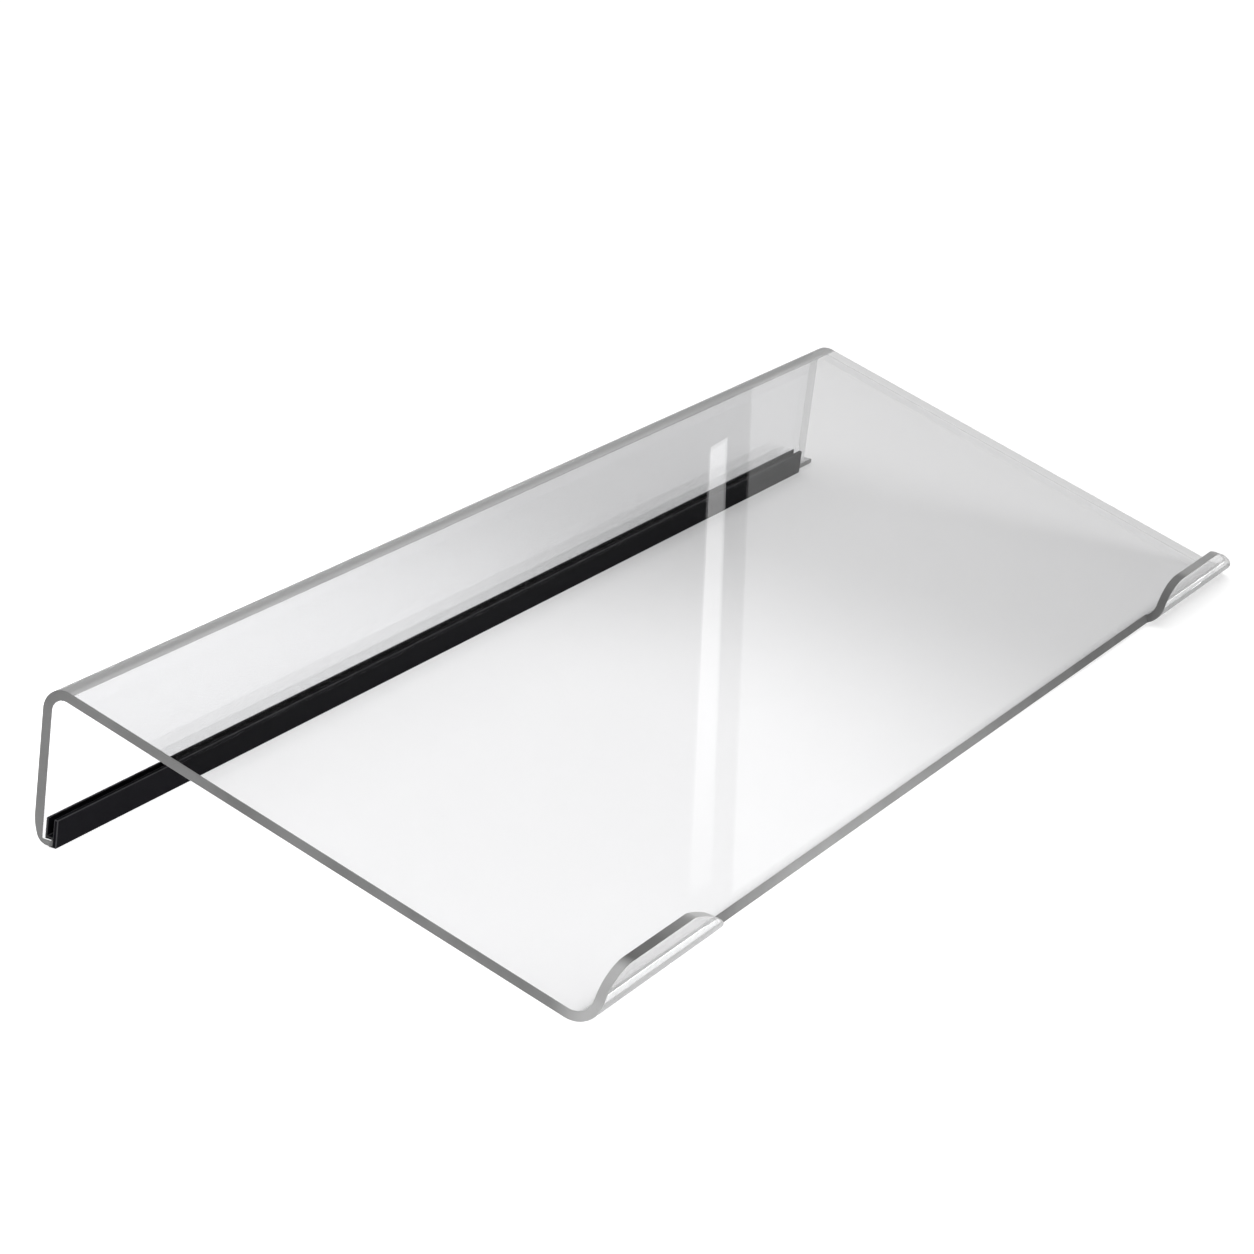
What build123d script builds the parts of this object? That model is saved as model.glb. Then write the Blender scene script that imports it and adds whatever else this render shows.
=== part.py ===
"""Sloped desk stand: one bent sheet of clear acrylic on a rubber foot.

Frame: +X runs along the width, -Y points to the front lips and +Z points up. The origin is
the centre of the stand's box at desk level, and every size is in millimetres.
"""
import os
from math import cos, radians, sin

from build123d import *

# Sheet and overall shape
WIDTH = 510.0               # length of the sheet along X
SHEET = 3.0                 # thickness of the acrylic
TILT = 15.2                 # slope of the panel, in degrees above the desk
PANEL_RUN = 167.0           # flat length of the panel between its two bends

# Bends: inner radii, and the angles that the sheet turns at the front
REAR_BEND_R = 3.7
FRONT_BEND_R = 5.8
EDGE_TURN = 40.0            # the front edge between the lips is cut this far round the bend
LIP_TURN = 98.0             # the lips go on to here

# Front lips. Seen from the front, each has a round corner at its left end and a long slope
# down to the front edge at its right end
LIP_RISE = 8.2              # straight part of a lip above the bend
LIP_WIDTH = 80.0
CORNER_WIDTH = 13.0
CORNER_HEIGHT = 10.0
SLOPE_WIDTH = 30.0
SLOPE_R = 80.0              # the slope bulges outward a little

# Foot of the rear leg: the sheet turns forward in two arcs and ends in a thin tongue
HEEL_R = 16.0
HEEL_TURN = 22.0
TOE_R = 4.2
TOE_TURN = 90 - HEEL_TURN
TONGUE_REACH = 6.15         # from the leg's rear face to the tip of the tongue
TONGUE = 1.7                # thickness left where its upper side is milled away
TONGUE_CORNER_R = 0.4

# Rubber foot: a channel that grips the tongue, with two walls and a slot between them
SOLE = 0.55                 # thickness under the tongue
SOLE_REACH = 2.6            # from the front wall's front face to the end of the sole
FRONT_WALL = 1.3
SLOT = 2.0
REAR_WALL = 0.6
WEB = 0.8                   # floor of the slot, on top of the tongue
RUBBER_HEIGHT = 8.6
LEFT_INSET = 0.7            # from the left end of the sheet to the rubber
RIGHT_INSET = 13.5          # the rubber is cut shorter at the right end
WALL_TOP_R = 0.25
SOLE_FRONT_R = 0.5
SOLE_END_R = 0.2

# Worked out from the above
MID = SHEET / 2
FRONT_OUTER_R = FRONT_BEND_R + SHEET
REAR_OUTER_R = REAR_BEND_R + SHEET
SLOPE = radians(TILT)
LIP_ANGLE = radians(180 + TILT - LIP_TURN)
AXIS_RUN = PANEL_RUN * cos(SLOPE) + (FRONT_OUTER_R + REAR_BEND_R) * sin(SLOPE)
OVERHANG = FRONT_OUTER_R * sin(LIP_ANGLE) - LIP_RISE * cos(LIP_ANGLE)
DEPTH = OVERHANG + AXIS_RUN + REAR_OUTER_R

FRONT_AXIS = Vector(OVERHANG - DEPTH / 2, FRONT_OUTER_R)
REAR_FACE = DEPTH / 2
LEG_FACE = REAR_FACE - SHEET
TONGUE_TOP = SOLE + TONGUE
HEEL_SIN = sin(radians(HEEL_TURN))
LEG_END = SOLE + HEEL_R * HEEL_SIN + TOE_R * (1 - HEEL_SIN)


def on_front_bend(radius, turn):
    """Point at this radius from the front bend's axis, this many degrees round the bend."""
    return FRONT_AXIS + Vector(radius, 0).rotate(Axis.Z, TILT - 90 - turn)


# Outlines of both lips, extruded to the front
EDGE_HEIGHT = on_front_bend(FRONT_BEND_R + MID, EDGE_TURN).Y
LIP_TOP = on_front_bend(FRONT_BEND_R, LIP_TURN).Y + LIP_RISE * sin(LIP_ANGLE)

with BuildPart() as lip_outlines:
    with BuildSketch(Plane.XZ):
        for left_end in (-WIDTH / 2, WIDTH / 2 - LIP_WIDTH):
            right_end = left_end + LIP_WIDTH
            round_centre = (left_end + CORNER_WIDTH, LIP_TOP - CORNER_HEIGHT)
            slope_top = (right_end - SLOPE_WIDTH, LIP_TOP)
            slope_foot = (right_end, EDGE_HEIGHT)
            with BuildLine():
                rounded = EllipticalCenterArc(
                    round_centre, CORNER_WIDTH, CORNER_HEIGHT, 90, arc_size=90
                )
                Line(rounded @ 0, slope_top)
                RadiusArc(slope_top, slope_foot, SLOPE_R)
                Polyline(slope_foot, (right_end, 0), (left_end, 0), rounded @ 1)
            make_face()
    extrude(amount=DEPTH)

# Everything past the front edge's cut, except the lips
with BuildPart() as past_edge:
    with BuildSketch(Plane.YZ):
        with BuildLine():
            reach = 2 * FRONT_OUTER_R
            below = on_front_bend(reach, EDGE_TURN)
            ahead = on_front_bend(reach, LIP_TURN)
            above = Vector(0, 2 * LIP_TOP)
            Polyline(FRONT_AXIS, below, ahead, ahead + above, FRONT_AXIS + above, close=True)
        make_face()
    extrude(amount=WIDTH, both=True)
    add(lip_outlines.part, mode=Mode.SUBTRACT)

with BuildPart() as acrylic_stand_body:
    with BuildSketch(Plane.YZ) as section:
        with BuildLine():
            panel = PolarLine(on_front_bend(FRONT_BEND_R + MID, 0), PANEL_RUN, TILT)
            rear_bend = JernArc(panel @ 1, panel % 1, REAR_BEND_R + MID, -(90 + TILT))
            leg = Line(rear_bend @ 1, (REAR_FACE - MID, LEG_END))
            heel = JernArc(leg @ 1, leg % 1, HEEL_R - MID, -HEEL_TURN)
            toe = JernArc(heel @ 1, heel % 1, TOE_R - MID, -TOE_TURN)
            Line(toe @ 1, (REAR_FACE - TONGUE_REACH, SOLE + MID))
            front_bend = JernArc(panel @ 0, (panel % 0) * -1, FRONT_BEND_R + MID, -LIP_TURN)
            PolarLine(front_bend @ 1, LIP_RISE, direction=front_bend % 1)
        trace(line_width=SHEET)
        with Locations((LEG_FACE, TONGUE_TOP)):
            Rectangle(TONGUE_REACH, LEG_END, align=(Align.MAX, Align.MIN), mode=Mode.SUBTRACT)
        fillet(section.vertices().sort_by_distance((LEG_FACE, TONGUE_TOP))[0], TONGUE_CORNER_R)
    extrude(amount=WIDTH / 2, both=True)
    add(past_edge.part, mode=Mode.SUBTRACT)

# Rubber foot: front wall and sole, web over the tongue, and rear wall
TIP = REAR_FACE - TONGUE_REACH
FRONT_FACE = TIP - FRONT_WALL

with BuildPart() as rubber_foot_strip:
    with BuildSketch(Plane.YZ.offset(LEFT_INSET - WIDTH / 2)) as channel:
        with Locations((FRONT_FACE, 0)):
            Rectangle(FRONT_WALL, RUBBER_HEIGHT, align=Align.MIN)
            Rectangle(SOLE_REACH, SOLE, align=Align.MIN)
        with Locations((TIP, TONGUE_TOP)):
            Rectangle(SLOT + REAR_WALL, WEB, align=Align.MIN)
        with Locations((TIP + SLOT, TONGUE_TOP)):
            Rectangle(REAR_WALL, RUBBER_HEIGHT - TONGUE_TOP, align=Align.MIN)
        fillet(channel.vertices().group_by(Axis.Y)[-1], WALL_TOP_R)
        fillet(channel.vertices().sort_by_distance((FRONT_FACE, 0))[0], SOLE_FRONT_R)
        fillet(channel.vertices().sort_by_distance((FRONT_FACE + SOLE_REACH, 0))[0], SOLE_END_R)
    extrude(amount=WIDTH - LEFT_INSET - RIGHT_INSET)

os.makedirs("parts", exist_ok=True)
acrylic_stand_body.part.label = "acrylic_stand_body"
export_step(acrylic_stand_body.part, "parts/acrylic_stand_body.step")
rubber_foot_strip.part.label = "rubber_foot_strip"
export_step(rubber_foot_strip.part, "parts/rubber_foot_strip.step")
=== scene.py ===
from math import asin, ceil, cos, pi, radians, sin, sqrt

import bmesh
import bpy
from mathutils import Matrix, Vector


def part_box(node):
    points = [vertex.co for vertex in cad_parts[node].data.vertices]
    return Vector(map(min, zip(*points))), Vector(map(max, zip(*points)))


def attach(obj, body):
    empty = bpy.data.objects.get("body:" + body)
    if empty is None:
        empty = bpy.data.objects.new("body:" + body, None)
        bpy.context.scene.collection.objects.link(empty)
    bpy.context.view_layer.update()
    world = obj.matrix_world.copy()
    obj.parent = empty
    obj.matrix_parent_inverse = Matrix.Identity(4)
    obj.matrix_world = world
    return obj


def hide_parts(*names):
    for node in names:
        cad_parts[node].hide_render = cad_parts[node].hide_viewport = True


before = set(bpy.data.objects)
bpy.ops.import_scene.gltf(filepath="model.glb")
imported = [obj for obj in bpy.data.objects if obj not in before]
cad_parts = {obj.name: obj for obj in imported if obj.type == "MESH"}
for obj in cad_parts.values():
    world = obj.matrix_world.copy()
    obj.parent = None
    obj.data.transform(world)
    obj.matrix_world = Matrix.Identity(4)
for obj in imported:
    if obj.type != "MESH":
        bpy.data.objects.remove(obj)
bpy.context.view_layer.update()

MM = 0.001
BODY_LOW, BODY_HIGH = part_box("acrylic_stand_body")
STRIP_LOW, STRIP_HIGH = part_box("rubber_foot_strip")

# Acrylic sheet. Its middle line runs in the YZ plane from the tongue's tip, up the leg, over the
# rear bend, down the panel and round the front bend to the top of the lips.
SHEET = 3.0 * MM
MID = SHEET / 2
TILT = radians(15.2)
PANEL_RUN = 167.0 * MM
REAR_BEND_R = 3.7 * MM + MID
FRONT_BEND_R = 5.8 * MM + MID
EDGE_TURN = radians(40)
LIP_TURN = radians(98)
LIP_RISE = 8.2 * MM
HEEL_R = 16.0 * MM - MID
HEEL_TURN = radians(22)
TOE_R = 4.2 * MM - MID
TOE_TURN = pi / 2 - HEEL_TURN
TONGUE_REACH = 6.15 * MM
TONGUE = 1.7 * MM
TONGUE_CORNER_R = 0.4 * MM
SOLE = 0.55 * MM

HALF_WIDTH = (BODY_HIGH.x - BODY_LOW.x) / 2
REAR_FACE = BODY_HIGH.y
TIP = REAR_FACE - TONGUE_REACH
LEG_END = SOLE + MID + HEEL_R * sin(HEEL_TURN) + TOE_R * (1 - sin(HEEL_TURN))
LEG_RUN = BODY_HIGH.z - MID - REAR_BEND_R - LEG_END
TONGUE_RUN = TONGUE_REACH - MID - HEEL_R * (1 - cos(HEEL_TURN)) - TOE_R * cos(HEEL_TURN)

# Each run of the middle line: its length, and how far it turns to the left
RUNS = [
    (TONGUE_RUN, 0),
    (TOE_R * TOE_TURN, TOE_TURN),
    (HEEL_R * HEEL_TURN, HEEL_TURN),
    (LEG_RUN, 0),
    (REAR_BEND_R * (pi / 2 + TILT), pi / 2 + TILT),
    (PANEL_RUN, 0),
    (FRONT_BEND_R * LIP_TURN, -LIP_TURN),
    (LIP_RISE, 0),
]
FOOT = sum(length for length, turn in RUNS[:3])
REAR_BEND = (FOOT + LEG_RUN, FOOT + LEG_RUN + RUNS[4][0])
PANEL_END = REAR_BEND[1] + PANEL_RUN
LIP_START = PANEL_END + FRONT_BEND_R * LIP_TURN
LIP_END = LIP_START + LIP_RISE
EDGE = PANEL_END + FRONT_BEND_R * EDGE_TURN

# Lips. Seen from the front, each has a round corner at its left end and a long slope at its right
LIP_WIDTH = 80.0 * MM
CORNER_WIDTH = 13.0 * MM
CORNER_HEIGHT = 10.0 * MM
SLOPE_WIDTH = 30.0 * MM
SLOPE_R = 80.0 * MM
GAP_END = HALF_WIDTH - LIP_WIDTH

# Mesh
EDGE_R = 0.28 * MM          # rounding along every cut edge
ROUND_STEPS = 3
ARC_STEP = radians(4)
FLAT_STEP = 6.0 * MM
NORMAL_STEP = 0.02 * MM     # how far apart the points that give a face's slope are
LIP_ROWS = 40
LIP_COLUMNS = 14
GAP_COLUMNS = 44
CORNER_SPAN = 0.4 * MM      # the gap's columns stop this far short of the lips

# Painted shade: how grey the sheet's faces are painted at the bends and lips, from 0 for clear to 1
REAR_BEND_SHADE = 1.0
FRONT_BEND_SHADE = 1.0
INNER_BEND_SHADE = 0.6            # on the inside of the front bend, at the lips
LIP_FACE_SHADE = 0.25
SHADE_SPILL = (1.0 * MM, 1.3 * MM)   # the rear bend's painted shade ends between these, on the panel


def on_middle(s):
    """Point of the middle line at this length along it, and its heading from +Y towards +Z."""
    point, heading = Vector((TIP, SOLE + MID)), 0.0
    for run, (length, turn) in enumerate(RUNS):
        part = s if run == len(RUNS) - 1 else min(s, length)
        if turn:
            radius = length / turn
            new = heading + part / radius
            point = point + radius * Vector((sin(new) - sin(heading), cos(heading) - cos(new)))
            heading = new
        else:
            point = point + part * Vector((cos(heading), sin(heading)))
        s -= part
        if s <= 0:
            break
    return point, heading


def milled(s):
    """Point at s on the tongue's milled upper side and the foot of the leg's inner face."""
    flat = REAR_FACE - SHEET - TONGUE_CORNER_R - TIP
    arc = pi / 2 * TONGUE_CORNER_R
    rise = LEG_END - SOLE - TONGUE - TONGUE_CORNER_R
    along = s / FOOT * (flat + arc + rise)
    if along < flat:
        return Vector((TIP + along, SOLE + TONGUE))
    if along < flat + arc:
        turn = (along - flat) / TONGUE_CORNER_R
        centre = Vector((TIP + flat, SOLE + TONGUE + TONGUE_CORNER_R))
        return centre + TONGUE_CORNER_R * Vector((sin(turn), -cos(turn)))
    return Vector((REAR_FACE - SHEET, SOLE + TONGUE + TONGUE_CORNER_R + along - flat - arc))


def in_sheet(s, side):
    """Point of the section at s, where side goes from -1 under the panel to 1 on top of it."""
    middle, heading = on_middle(s)
    outward = Vector((sin(heading), -cos(heading)))
    top, under = middle + MID * outward, middle - MID * outward
    if s < FOOT:
        under = milled(s)
    return under.lerp(top, (side + 1) / 2)


def facing(s, side):
    """Unit normal, out of the sheet, of its face on that side at s."""
    along = in_sheet(s + NORMAL_STEP, side) - in_sheet(s - NORMAL_STEP, side)
    return Vector((along.y, -along.x)).normalized() * side


EDGE_HEIGHT = on_middle(EDGE)[0].y
BEND_TOP = on_middle(LIP_START)[0].y
LIP_TOP = in_sheet(LIP_END, 1).y


def at_height(z):
    """Length along the middle line where the front bend or a lip reaches this height."""
    if z > BEND_TOP:
        return LIP_START + (z - BEND_TOP) / sin(TILT + pi - LIP_TURN)
    axis = in_sheet(PANEL_END, 1 + 2 * (FRONT_BEND_R - MID) / SHEET)
    return PANEL_END + FRONT_BEND_R * (TILT + pi / 2 + asin((z - axis.y) / FRONT_BEND_R))


def rows_along():
    """Places along the middle line, up to the cut front edge, where the mesh has a row."""
    rows, start = [0.0], 0.0
    for length, turn in RUNS[:6] + [(EDGE - PANEL_END, EDGE_TURN)]:
        count = max(1, ceil(max(abs(turn) / ARC_STEP, length / FLAT_STEP)))
        rows += [start + length * (k + 1) / count for k in range(count)]
        start += length
    return sorted(rows + [REAR_BEND[1] + spill for spill in SHADE_SPILL])


ROWS = rows_along()
LAST = len(ROWS) - 1
COLUMNS = 2 * LIP_COLUMNS + GAP_COLUMNS


def lip_ends(z, inset):
    """How far a lip's two ends are from its left end at this height, moved inwards by inset."""
    over = max(0.0, z - LIP_TOP + CORNER_HEIGHT) / (CORNER_HEIGHT - inset)
    left = CORNER_WIDTH - (CORNER_WIDTH - inset) * sqrt(max(0.0, 1 - over * over))
    top = Vector((LIP_WIDTH - SLOPE_WIDTH, LIP_TOP))
    foot = Vector((LIP_WIDTH, EDGE_HEIGHT))
    chord = foot - top
    back = Vector((chord.y, -chord.x)).normalized() * sqrt(SLOPE_R ** 2 - chord.length ** 2 / 4)
    centre = (top + foot) / 2 + back
    return left, centre.x + sqrt((SLOPE_R - inset) ** 2 - (z - centre.y) ** 2)


def layout(inset):
    """(x, s) of every grid point of the sheet, with its outline moved inwards by inset."""
    places = {}
    left, right = lip_ends(EDGE_HEIGHT, inset)
    gap = GAP_END - CORNER_SPAN
    across = [-HALF_WIDTH + left + (right - left) * k / LIP_COLUMNS for k in range(LIP_COLUMNS + 1)]
    across += [gap * (2 * k / (GAP_COLUMNS - 2) - 1) for k in range(GAP_COLUMNS - 1)]
    across += [GAP_END + left + (LIP_WIDTH - inset - left) * k / LIP_COLUMNS
               for k in range(LIP_COLUMNS + 1)]
    for row, s in enumerate(ROWS):
        for col, x in enumerate(across):
            places[row, col] = (x, min(max(s, inset), EDGE - inset))
    for k in range(1, LIP_ROWS + 1):
        z = EDGE_HEIGHT + (LIP_TOP - EDGE_HEIGHT - inset) * sin(pi / 2 * k / LIP_ROWS)
        left, right = lip_ends(z, inset)
        for first, end in ((0, -HALF_WIDTH), (COLUMNS - LIP_COLUMNS, GAP_END)):
            for col in range(LIP_COLUMNS + 1):
                x = end + left + (right - left) * col / LIP_COLUMNS
                places[LAST + k, first + col] = (x, at_height(z))
    return places


def outline():
    """Grid points round the sheet's outline, in order."""
    top, left, right = LAST + LIP_ROWS, LIP_COLUMNS, COLUMNS - LIP_COLUMNS
    loop = [(0, c) for c in range(COLUMNS)]
    loop += [(r, COLUMNS) for r in range(top)]
    loop += [(top, c) for c in range(COLUMNS, right, -1)]
    loop += [(r, right) for r in range(top, LAST, -1)]
    loop += [(LAST, c) for c in range(right, left, -1)]
    loop += [(r, left) for r in range(LAST, top)]
    loop += [(top, c) for c in range(left, 0, -1)]
    loop += [(r, 0) for r in range(top, 0, -1)]
    return loop


def mesh_object(name, points, faces, finishes, materials, normals, painted_shade):
    """Object with the given mesh, one finish for each face, and a normal and a painted shade for
    each point.
    """
    mesh = bpy.data.meshes.new(name)
    mesh.from_pydata(points, [], faces)
    for material in materials:
        mesh.materials.append(material)
    mesh.polygons.foreach_set("material_index", finishes)
    mesh.shade_smooth()
    mesh.attributes.new("painted_shade", "FLOAT", "POINT").data.foreach_set("value", painted_shade)
    mesh.normals_split_custom_set_from_vertices(normals)
    obj = bpy.data.objects.new(name, mesh)
    bpy.context.scene.collection.objects.link(obj)
    return obj


def painted_shade_at(s, side):
    """Painted shade of the sheet's face on this side at s."""
    on_lip = s > LIP_START
    if side > 0 and s < PANEL_END:
        return REAR_BEND_SHADE if REAR_BEND[0] < s < REAR_BEND[1] + SHADE_SPILL[1] else 0.0
    if s <= EDGE or (side > 0 and on_lip):
        return 0.0
    if side > 0:
        return INNER_BEND_SHADE
    return LIP_FACE_SHADE if on_lip else FRONT_BEND_SHADE


def acrylic_sheet(clear, cut):
    """The bent sheet as one closed mesh: two faces, joined by rounded cut edges."""
    points, normals, painted_shade, faces, finishes = [], [], [], [], []
    loop = outline()
    flat = layout(0.0)
    outward = []
    for k, key in enumerate(loop):
        before, after = Vector(flat[loop[k - 1]]), Vector(flat[loop[(k + 1) % len(loop)]])
        along = (after - before).normalized()
        heading = on_middle(flat[key][1])[1]
        outward.append(Vector((along.y, -along.x * cos(heading), -along.x * sin(heading))))

    def add(place, side, normal=None):
        """Adds a point, with the face's own normal unless another is given. Returns its number."""
        x, s = place
        yz = in_sheet(s, side)
        face = facing(s, 1 if side > 0 else -1)
        points.append((x, yz.x, yz.y))
        normals.append(normal or Vector((0, face.x, face.y)))
        painted_shade.append(painted_shade_at(s, side))
        return len(points) - 1

    inner = layout(EDGE_R)
    grids = {side: {key: add(place, side) for key, place in inner.items()} for side in (1, -1)}
    for side, grid in grids.items():
        for row, col in grid:
            corners = [(row, col), (row + 1, col), (row + 1, col + 1), (row, col + 1)]
            if all(c in grid for c in corners):
                ring = [grid[c] for c in corners]
                faces.append(ring if side > 0 else ring[::-1])
                finishes.append(0)

    rings = [[grids[1][key] for key in loop]]
    angles = [pi / 2 * k / ROUND_STEPS for k in range(1, ROUND_STEPS + 1)]
    for side, turns in ((1, angles), (-1, angles[::-1])):
        for turn in turns:
            places = layout(EDGE_R * (1 - sin(turn)))
            depth = side * (1 - EDGE_R / MID * (1 - cos(turn)))
            ring = []
            for key, out in zip(loop, outward):
                face = facing(places[key][1], side)
                normal = cos(turn) * Vector((0, face.x, face.y)) + sin(turn) * out
                ring.append(add(places[key], depth, normal.normalized()))
            rings.append(ring)
    rings.append([grids[-1][key] for key in loop])
    for upper, lower in zip(rings, rings[1:]):
        for k in range(len(loop)):
            n = (k + 1) % len(loop)
            faces.append([upper[k], upper[n], lower[n], lower[k]])
            finishes.append(1)
    return mesh_object("acrylic_sheet", points, faces, finishes, [clear, cut], normals, painted_shade)


# Rubber foot: a channel with two walls and a slot, gripping the tongue
SOLE_REACH = 2.6 * MM
FRONT_WALL = 1.3 * MM
SLOT = 2.0 * MM
REAR_WALL = 0.6 * MM
WEB = 0.8 * MM
SEAT_GAP = 0.03 * MM        # between the rubber and the tongue
RUBBER_ROUND = 0.28 * MM     # the bevel holds it to half of the thinnest part's thickness


def rubber_channel(rubber, edge_grey):
    """The rubber extrusion, rounded along all its edges, which are painted paler as a painted
    highlight.
    """
    front, top = STRIP_LOW.y, STRIP_HIGH.z
    seat = SOLE + TONGUE + SEAT_GAP
    section = [
        (front, 0),
        (front + SOLE_REACH, 0),
        (front + SOLE_REACH, SOLE - SEAT_GAP),
        (TIP - SEAT_GAP, SOLE - SEAT_GAP),
        (TIP - SEAT_GAP, seat),
        (TIP + SLOT + REAR_WALL, seat),
        (TIP + SLOT + REAR_WALL, top),
        (TIP + SLOT, top),
        (TIP + SLOT, SOLE + TONGUE + WEB),
        (front + FRONT_WALL, SOLE + TONGUE + WEB),
        (front + FRONT_WALL, top),
        (front, top),
    ]
    bm = bmesh.new()
    ring = [bm.verts.new((STRIP_LOW.x, y, z)) for y, z in section]
    cap = bm.faces.new(ring)
    made = bmesh.ops.extrude_face_region(bm, geom=[cap], use_keep_orig=True)
    moved = [v for v in made["geom"] if isinstance(v, bmesh.types.BMVert)]
    bmesh.ops.translate(bm, verts=moved, vec=(STRIP_HIGH.x - STRIP_LOW.x, 0, 0))
    bmesh.ops.recalc_face_normals(bm, faces=bm.faces)
    # Every rounded edge gets the second, paler rubber: a painted highlight
    bmesh.ops.bevel(bm, geom=list(bm.edges), offset=RUBBER_ROUND, segments=2, profile=0.5,
                    affect="EDGES", clamp_overlap=True, material=1)
    mesh = bpy.data.meshes.new("rubber_foot")
    bm.to_mesh(mesh)
    bm.free()
    mesh.materials.append(rubber)
    mesh.materials.append(edge_grey)
    mesh.shade_smooth()
    obj = bpy.data.objects.new("rubber_foot", mesh)
    bpy.context.scene.collection.objects.link(obj)
    weighted = obj.modifiers.new("weighted", "WEIGHTED_NORMAL")
    weighted.keep_sharp = True
    return obj


# Finishes, as linear colours
NOISE_RANGE = (0.3, 0.7)    # where most of a noise's values lie
CLEAR_IOR = 1.01            # what is seen through the thin sheet isn't shifted; its coat mirrors
COAT_IOR = 1.49
CLEAR_DARK = (0.772, 0.772, 0.777)
CLEAR_LIGHT = (0.784, 0.784, 0.788)
# Painted light: the leg's body is lighter than the panel's, so where the leg is seen through the
# panel it stays bright
LEG_PAINTED_LIGHTER = (0.885, 0.887, 0.895)
LEG_INNER_FACE = REAR_FACE - SHEET
# Painted shade: the grey painted where the sheet's painted shade is full, and how clear and how
# polished the sheet stays there
PAINTED_SHADE_GREY = (0.49, 0.49, 0.492)
SHADED_CLEARNESS = 0.15
SHADED_POLISH = 0.35
CLOUD_SCALE = 9.0
CLOUD_ROUGHNESS = 0.01
CUT_IOR = 1.2
CUT_ROUGHNESS = (0.3, 0.5)
STREAK_SCALE = 55.0
CUT_DARK = (0.13, 0.13, 0.13)
CUT_LIGHT = (0.50, 0.50, 0.50)
CUT_ENDS = (0.25, 0.25, 0.25)
CUT_FROM_INSIDE = (0.60, 0.60, 0.60)
CUT_GRAIN = 0.2
FRONT_FADE = (-74 * MM, -84 * MM)   # between these, CUT_ENDS gives way to the front's painted sheen and shade
FRONT_PAINTED_SHEEN = [                     # x in mm, and how light the front's cut edge is painted there, as painted sheen and shade
    (-255, 0.62), (-247, 0.62), (-241, 0.16), (-225, 0.19), (-208, 0.35), (-203, 0.80),
    (-179, 0.80), (-174, 0.31), (-119, 0.56), (0, 0.40), (105, 0.195), (188, 0.16),
    (193, 0.43), (222, 0.43), (228, 0.65), (255, 0.65),
]
RUBBER_DARK = (0.0045, 0.0043, 0.0062)
RUBBER_LIGHT = (0.0075, 0.0072, 0.0100)
# Painted highlight: paler rubber for every rounded edge, standing in for light caught along the
# edges
EDGE_HIGHLIGHT_DARK = (0.050, 0.050, 0.053)
EDGE_HIGHLIGHT_LIGHT = (0.095, 0.095, 0.100)
RUBBER_SPECULAR = 0.04
RUBBER_ROUGHNESS = (0.6, 0.85)
GRAIN_SCALE = 2500.0
GRAIN_DEPTH = 0.03 * MM
PATCH_SCALE = 60.0


def node(tree, kind, settings=(), **inputs):
    """New node with its settings and its unlinked inputs set."""
    made = tree.nodes.new(kind)
    for name, value in settings:
        setattr(made, name, value)
    for name, value in inputs.items():
        made.inputs[name.replace("_", " ")].default_value = value
    return made


def new_material(name):
    """New material, with its tree, its shader and the object's own coordinates."""
    material = bpy.data.materials.new(name)
    material.use_nodes = True
    tree = material.node_tree
    shader = tree.nodes["Principled BSDF"]
    place = node(tree, "ShaderNodeTexCoord").outputs["Object"]
    return material, tree, shader, place


def mapped(tree, source, low, high, new_low=0.0, new_high=1.0, smooth=False):
    """Output that goes from new_low to new_high as the source goes from low to high."""
    kind = "SMOOTHSTEP" if smooth else "LINEAR"
    made = node(tree, "ShaderNodeMapRange", [("interpolation_type", kind)], From_Min=low,
                From_Max=high, To_Min=new_low, To_Max=new_high)
    tree.links.new(source, made.inputs["Value"])
    return made.outputs["Result"]


def blended(tree, share, first, second):
    """Colour that goes from the first to the second as share goes from 0 to 1."""
    mix = node(tree, "ShaderNodeMix", [("data_type", "RGBA")])
    for name, colour in (("A", first), ("B", second)):
        socket = next(i for i in mix.inputs if i.name == name and i.type == "RGBA")
        if isinstance(colour, tuple):
            socket.default_value = (*colour, 1)
        else:
            tree.links.new(colour, socket)
    if isinstance(share, float):
        mix.inputs["Factor"].default_value = share
    else:
        tree.links.new(share, mix.inputs["Factor"])
    return next(o for o in mix.outputs if o.type == "RGBA")


def toned(tree, source, tones):
    """Grey that goes through these tones, each a place across the stand in mm and a lightness."""
    ramp = tree.nodes.new("ShaderNodeValToRGB")
    stops = ramp.color_ramp.elements
    shares = [(x * MM + HALF_WIDTH) / (2 * HALF_WIDTH) for x, grey in tones]
    for share in shares[1:-1]:
        stops.new(share)
    for stop, (x, grey) in zip(stops, tones):
        stop.color = (grey, grey, grey, 1)
    tree.links.new(mapped(tree, source, -HALF_WIDTH, HALF_WIDTH), ramp.inputs["Fac"])
    return ramp.outputs["Color"]


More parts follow.
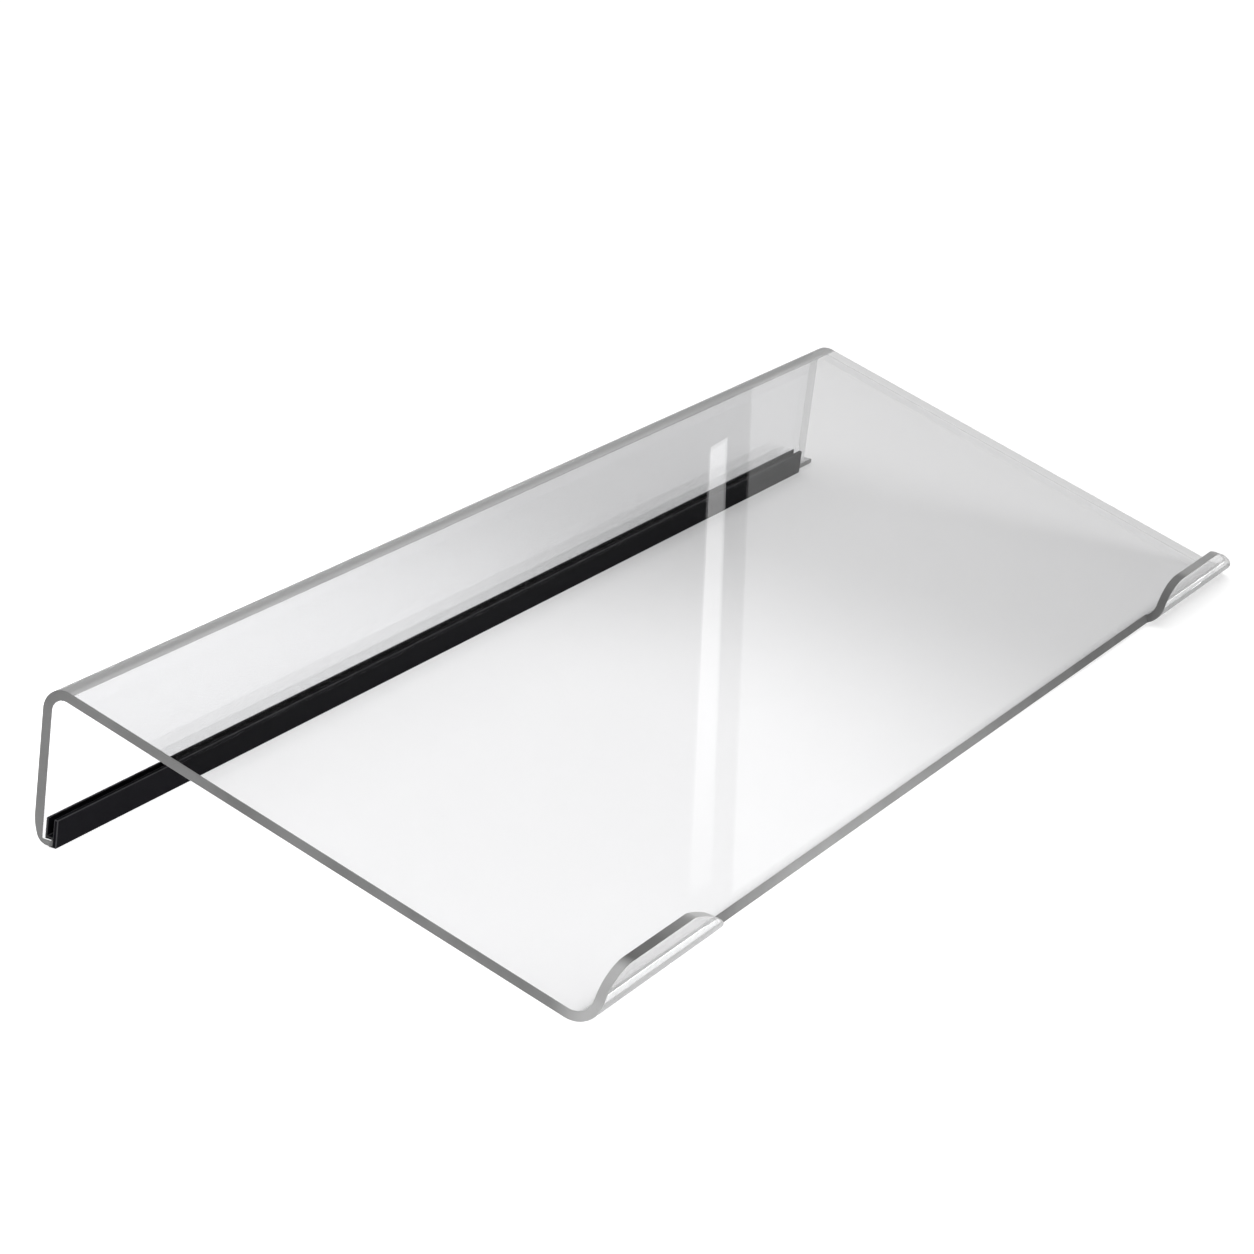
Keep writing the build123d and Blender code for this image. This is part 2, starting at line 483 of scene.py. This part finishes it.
def clear_acrylic():
    """Polished clear sheet with a faint grey body, painted grey as painted shade at its bends and
    lips.
    """
    material, tree, shader, place = new_material("clear_acrylic")
    shader.inputs["IOR"].default_value = CLEAR_IOR
    shader.inputs["Coat IOR"].default_value = COAT_IOR
    shader.inputs["Coat Roughness"].default_value = 0.0
    cloud = node(tree, "ShaderNodeTexNoise", Scale=CLOUD_SCALE, Detail=3.0)
    tree.links.new(place, cloud.inputs["Vector"])
    painted_shade = node(tree, "ShaderNodeAttribute", [("attribute_name", "painted_shade")]).outputs["Fac"]
    split = node(tree, "ShaderNodeSeparateXYZ")
    tree.links.new(place, split.inputs["Vector"])
    leg = mapped(tree, split.outputs["Y"], LEG_INNER_FACE - SHEET, LEG_INNER_FACE)
    panel = blended(tree, cloud.outputs["Fac"], CLEAR_DARK, CLEAR_LIGHT)
    # Painted light: the leg gets the lighter body
    body = blended(tree, leg, panel, LEG_PAINTED_LIGHTER)
    # Painted shade: grey blended into the body where the mesh's painted shade attribute is
    tree.links.new(blended(tree, painted_shade, body, PAINTED_SHADE_GREY), shader.inputs["Base Color"])
    clearness = mapped(tree, painted_shade, 0, 1, 1.0, SHADED_CLEARNESS)
    tree.links.new(clearness, shader.inputs["Transmission Weight"])
    polish = mapped(tree, painted_shade, 0, 1, 1.0, SHADED_POLISH)
    tree.links.new(polish, shader.inputs["Coat Weight"])
    roughness = mapped(tree, cloud.outputs["Fac"], *NOISE_RANGE, 0.0, CLOUD_ROUGHNESS)
    tree.links.new(roughness, shader.inputs["Roughness"])
    return material


def cut_acrylic():
    """Satin cut edge with fine streaks, painted lighter and darker along the front as painted sheen
    and shade; clear from inside.
    """
    material, tree, shader, place = new_material("cut_acrylic")
    shader.inputs["IOR"].default_value = CUT_IOR
    split = node(tree, "ShaderNodeSeparateXYZ")
    streak = node(tree, "ShaderNodeTexNoise", Scale=STREAK_SCALE, Detail=4.0)
    tree.links.new(place, split.inputs["Vector"])
    tree.links.new(place, streak.inputs["Vector"])
    grain = mapped(tree, streak.outputs["Fac"], *NOISE_RANGE)
    edge_grey = blended(tree, grain, CUT_DARK, CUT_LIGHT)
    front = mapped(tree, split.outputs["Y"], *FRONT_FADE)
    # Painted sheen and shade: the front's cut edge goes lighter and darker along x
    tone = blended(tree, front, CUT_ENDS, toned(tree, split.outputs["X"], FRONT_PAINTED_SHEEN))
    grey = blended(tree, CUT_GRAIN, tone, edge_grey)
    inside = node(tree, "ShaderNodeNewGeometry").outputs["Backfacing"]
    tree.links.new(blended(tree, inside, grey, CUT_FROM_INSIDE), shader.inputs["Base Color"])
    tree.links.new(inside, shader.inputs["Transmission Weight"])
    tree.links.new(mapped(tree, grain, 0, 1, *CUT_ROUGHNESS), shader.inputs["Roughness"])
    return material


def black_rubber(name, dark, light):
    """Matt extruded rubber with a fine grain, between two shades."""
    material, tree, shader, place = new_material(name)
    shader.inputs["Specular IOR Level"].default_value = RUBBER_SPECULAR
    grain = node(tree, "ShaderNodeTexNoise", Scale=GRAIN_SCALE, Detail=3.0)
    patch = node(tree, "ShaderNodeTexNoise", Scale=PATCH_SCALE, Detail=4.0)
    tree.links.new(place, grain.inputs["Vector"])
    tree.links.new(place, patch.inputs["Vector"])
    shade = blended(tree, patch.outputs["Fac"], dark, light)
    tree.links.new(shade, shader.inputs["Base Color"])
    roughness = mapped(tree, grain.outputs["Fac"], 0, 1, *RUBBER_ROUGHNESS)
    tree.links.new(roughness, shader.inputs["Roughness"])
    bump = node(tree, "ShaderNodeBump", Strength=0.3, Distance=GRAIN_DEPTH)
    tree.links.new(grain.outputs["Fac"], bump.inputs["Height"])
    tree.links.new(bump.outputs["Normal"], shader.inputs["Normal"])
    return material


sheet = acrylic_sheet(clear_acrylic(), cut_acrylic())
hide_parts("acrylic_stand_body")
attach(sheet, "root")

rubber = black_rubber("black_rubber", RUBBER_DARK, RUBBER_LIGHT)
# The foot's rounded edges are in paler rubber, a painted highlight
foot = rubber_channel(rubber, black_rubber("edge_highlight_rubber", EDGE_HIGHLIGHT_DARK, EDGE_HIGHLIGHT_LIGHT))
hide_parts("rubber_foot_strip")
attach(foot, "root")

# Camera: aimed near the middle of the stand, turned about its own line of sight
AIM = Vector((-17.6 * MM, 27.2 * MM, 19.4 * MM))
DISTANCE = 1.3
VIEW_AZIMUTH = radians(-65.22)
VIEW_ELEVATION = radians(19.24)
VIEW_ROLL = radians(7.245)
LENS = 116.13

BACK = Vector((
    sin(VIEW_AZIMUTH) * cos(VIEW_ELEVATION),
    -cos(VIEW_AZIMUTH) * cos(VIEW_ELEVATION),
    sin(VIEW_ELEVATION),
))
camera = bpy.data.objects.new("camera", bpy.data.cameras.new("camera"))
bpy.context.scene.collection.objects.link(camera)
camera.data.lens = LENS
turned = (-BACK).to_track_quat("-Z", "Y").to_matrix() @ Matrix.Rotation(VIEW_ROLL, 3, "Z")
camera.matrix_world = Matrix.Translation(AIM + BACK * DISTANCE) @ turned.to_4x4()
camera.data.clip_start = 0.01
camera.data.clip_end = 100.0
bpy.context.scene.camera = camera


def glowing(name, near, far, coordinate):
    """Emission that goes from near to far strength along one texture coordinate."""
    material = bpy.data.materials.new(name)
    material.use_nodes = True
    tree = material.node_tree
    tree.nodes.remove(tree.nodes["Principled BSDF"])
    place = node(tree, "ShaderNodeTexCoord").outputs["UV"]
    split = node(tree, "ShaderNodeSeparateXYZ")
    tree.links.new(place, split.inputs["Vector"])
    glow = node(tree, "ShaderNodeEmission")
    strength = mapped(tree, split.outputs[coordinate], 0, 1, near, far)
    tree.links.new(strength, glow.inputs["Strength"])
    surface = tree.nodes["Material Output"].inputs["Surface"]
    tree.links.new(glow.outputs["Emission"], surface)
    return material


# Reflectors stand to the right of the stand, where the panel mirrors them to the camera
CARD_X = 2.2
PANEL_NORMAL = Vector((0, -sin(TILT), cos(TILT)))


def on_panel(x, y):
    """Point of the panel's upper face at this place in plan."""
    start = in_sheet(PANEL_END, 1)
    return Vector((x, y, start.y + (y - start.x) * sin(TILT) / cos(TILT)))


def mirrored(point):
    """Where the camera's line of sight, mirrored in the panel at point, meets the reflectors."""
    sight = (point - camera.location).normalized()
    away = sight.reflect(PANEL_NORMAL)
    return point + away * ((CARD_X - point.x) / away.x)


def stand_card(name, places, near, far, coordinate):
    """Adds a glowing card whose mirror image has its four corners at these places, in mm."""
    corners = [mirrored(on_panel(x * MM, y * MM)) for x, y in places]
    mesh = bpy.data.meshes.new(name)
    mesh.from_pydata(corners, [], [[0, 1, 2, 3]])
    layer = mesh.uv_layers.new(name="UVMap")
    for k, uv in enumerate([(0, 0), (0, 1), (1, 1), (1, 0)]):
        layer.data[k].uv = uv
    mesh.materials.append(glowing(name, near, far, coordinate))
    card = bpy.data.objects.new(name, mesh)
    bpy.context.scene.collection.objects.link(card)


# Corners of each card's mirror image in the panel's plane, in mm, and the card's glow across it
STRIP_PLACES = [(114.6, 64.8), (-167.7, -71.8), (-154.5, -72.3), (129.9, 65.6)]
STRIP_GLOW = (1.25, 0.25)
BROAD_PLACES = [(196, 88), (-175, -89), (330, -89), (330, 88)]
BROAD_GLOW = (0.45, 0.05)
stand_card("strip_light", STRIP_PLACES, *STRIP_GLOW, "Y")
stand_card("broad_card", BROAD_PLACES, *BROAD_GLOW, "X")

# Floor: a plain light table that glows most round the pool's centre
FLOOR_DROP = 0.2 * MM
FLOOR_HALF = 30.0
FLOOR_WHITE = (0.8, 0.8, 0.8, 1)
POOL_CENTRE = (-0.13, 0.03, 0)
POOL_REACH = (0.10, 0.30)
POOL_GLOW = (0.89, 0.46)


def floor():
    """Large plain floor that glows, and takes soft shadows."""
    mesh = bpy.data.meshes.new("floor")
    corners = [(-1, -1), (1, -1), (1, 1), (-1, 1)]
    points = [(x * FLOOR_HALF, y * FLOOR_HALF, -FLOOR_DROP) for x, y in corners]
    mesh.from_pydata(points, [], [[0, 1, 2, 3]])
    material = bpy.data.materials.new("floor")
    material.use_nodes = True
    tree = material.node_tree
    tree.nodes.remove(tree.nodes["Principled BSDF"])
    place = node(tree, "ShaderNodeTexCoord").outputs["Object"]
    far = node(tree, "ShaderNodeVectorMath", [("operation", "DISTANCE")])
    far.inputs[1].default_value = POOL_CENTRE
    tree.links.new(place, far.inputs[0])
    strength = mapped(tree, far.outputs["Value"], *POOL_REACH, *POOL_GLOW, smooth=True)
    glow = node(tree, "ShaderNodeEmission")
    tree.links.new(strength, glow.inputs["Strength"])
    matt = node(tree, "ShaderNodeBsdfDiffuse", Color=FLOOR_WHITE)
    both = node(tree, "ShaderNodeAddShader")
    tree.links.new(glow.outputs["Emission"], both.inputs[0])
    tree.links.new(matt.outputs["BSDF"], both.inputs[1])
    tree.links.new(both.outputs["Shader"], tree.nodes["Material Output"].inputs["Surface"])
    mesh.materials.append(material)
    obj = bpy.data.objects.new("floor", mesh)
    bpy.context.scene.collection.objects.link(obj)


floor()


# Light from overhead, by the height of its direction
SKY_HEIGHT = (0.60, 0.85)
SKY_GLOW = (0.02, 1.65)


def studio():
    """Soft light from overhead that fades out well above the horizon."""
    world = bpy.data.worlds.new("studio")
    world.use_nodes = True
    tree = world.node_tree
    place = node(tree, "ShaderNodeTexCoord").outputs["Generated"]
    split = node(tree, "ShaderNodeSeparateXYZ")
    tree.links.new(place, split.inputs["Vector"])
    strength = mapped(tree, split.outputs["Z"], *SKY_HEIGHT, *SKY_GLOW, smooth=True)
    tree.links.new(strength, tree.nodes["Background"].inputs["Strength"])
    tree.nodes["Background"].inputs["Color"].default_value = (1, 1, 1, 1)
    bpy.context.scene.world = world


studio()
bpy.context.scene.view_settings.view_transform = "Standard"
